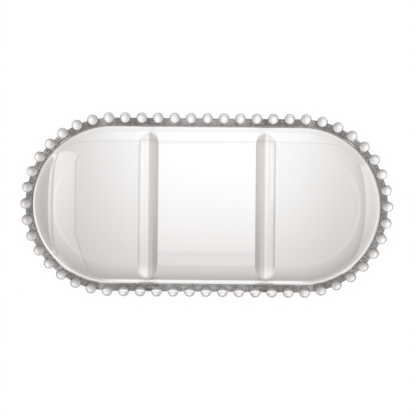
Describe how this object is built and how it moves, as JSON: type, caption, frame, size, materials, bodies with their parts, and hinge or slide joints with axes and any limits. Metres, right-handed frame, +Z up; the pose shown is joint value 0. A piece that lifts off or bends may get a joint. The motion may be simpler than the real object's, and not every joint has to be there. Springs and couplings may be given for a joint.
{
  "type": "divided appetizer dish",
  "caption": "Long clear pressed-glass serving dish with round ends, a flat base, low cross dividers that part it into compartments, and a string of glass beads round the rim.",
  "frame": {"origin": "middle of the flat base, on the surface that the dish stands on", "axes": "+Z up out of the dish, +X along its length towards the right-hand compartment, +Y across it"},
  "size_m": [0.3, 0.148, 0.03],
  "materials": {
    "clear_glass": "clear, colourless, fire-polished pressed glass"
  },
  "bodies": {
    "root": {"bowl": "clear_glass", "divider_left": "clear_glass", "divider_right": "clear_glass", "bead_01": "clear_glass", "bead_02": "clear_glass", "bead_03": "clear_glass", "bead_04": "clear_glass", "bead_05": "clear_glass", "bead_06": "clear_glass", "bead_07": "clear_glass", "bead_08": "clear_glass", "bead_09": "clear_glass", "bead_10": "clear_glass", "bead_11": "clear_glass", "bead_12": "clear_glass", "bead_13": "clear_glass", "bead_14": "clear_glass", "bead_15": "clear_glass", "bead_16": "clear_glass", "bead_17": "clear_glass", "bead_18": "clear_glass", "bead_19": "clear_glass", "bead_20": "clear_glass", "bead_21": "clear_glass", "bead_22": "clear_glass", "bead_23": "clear_glass", "bead_24": "clear_glass", "bead_25": "clear_glass", "bead_26": "clear_glass", "bead_27": "clear_glass", "bead_28": "clear_glass", "bead_29": "clear_glass", "bead_30": "clear_glass", "bead_31": "clear_glass", "bead_32": "clear_glass", "bead_33": "clear_glass", "bead_34": "clear_glass", "bead_35": "clear_glass", "bead_36": "clear_glass", "bead_37": "clear_glass", "bead_38": "clear_glass", "bead_39": "clear_glass", "bead_40": "clear_glass", "bead_41": "clear_glass", "bead_42": "clear_glass", "bead_43": "clear_glass", "bead_44": "clear_glass", "bead_45": "clear_glass", "bead_46": "clear_glass", "bead_47": "clear_glass", "bead_48": "clear_glass", "bead_49": "clear_glass", "bead_50": "clear_glass", "bead_51": "clear_glass", "bead_52": "clear_glass", "bead_53": "clear_glass", "bead_54": "clear_glass", "bead_55": "clear_glass", "bead_56": "clear_glass"}
  },
  "joints": []
}
